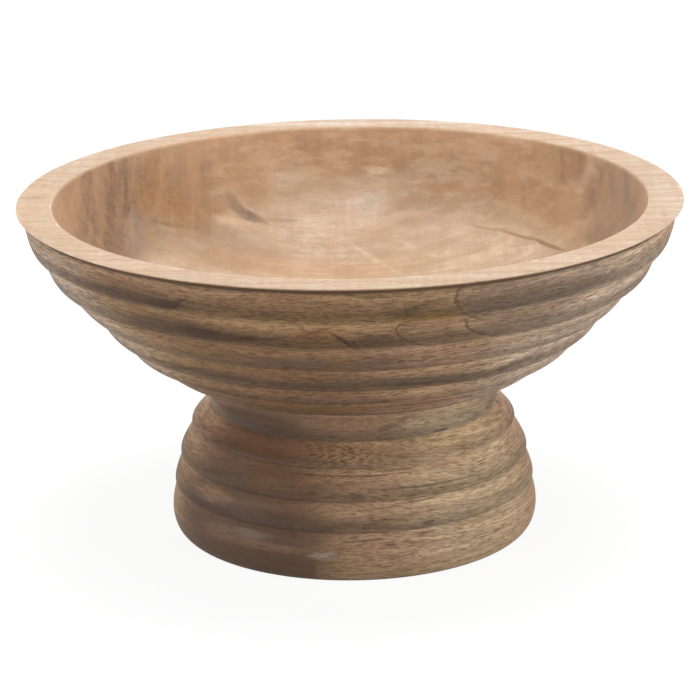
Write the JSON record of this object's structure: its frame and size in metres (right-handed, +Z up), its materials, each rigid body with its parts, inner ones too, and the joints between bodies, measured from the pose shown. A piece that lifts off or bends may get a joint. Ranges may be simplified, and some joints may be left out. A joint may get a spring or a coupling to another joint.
{
  "type": "footed wooden bowl",
  "caption": "Round turned wooden bowl with a flat pale rim and overlapping ridges outside, on a beaded pedestal foot that is hollow underneath.",
  "frame": {"origin": "centre of the foot's underside, at table height", "axes": "+Z up along the turning axis, +Y towards the far side of the rim in the picture, +X to the right along the wood's grain"},
  "size_m": [0.305, 0.305, 0.1578],
  "materials": {
    "bowl_wood": "matt, fine sanded, no lacquer",
    "foot_wood": "matt, fine sanded, no lacquer",
    "screw_steel": "yellow passivated zinc"
  },
  "bodies": {
    "root": {"bowl": "bowl_wood", "foot": "foot_wood", "screw_1": "screw_steel", "screw_2": "screw_steel", "screw_3": "screw_steel"}
  },
  "joints": []
}
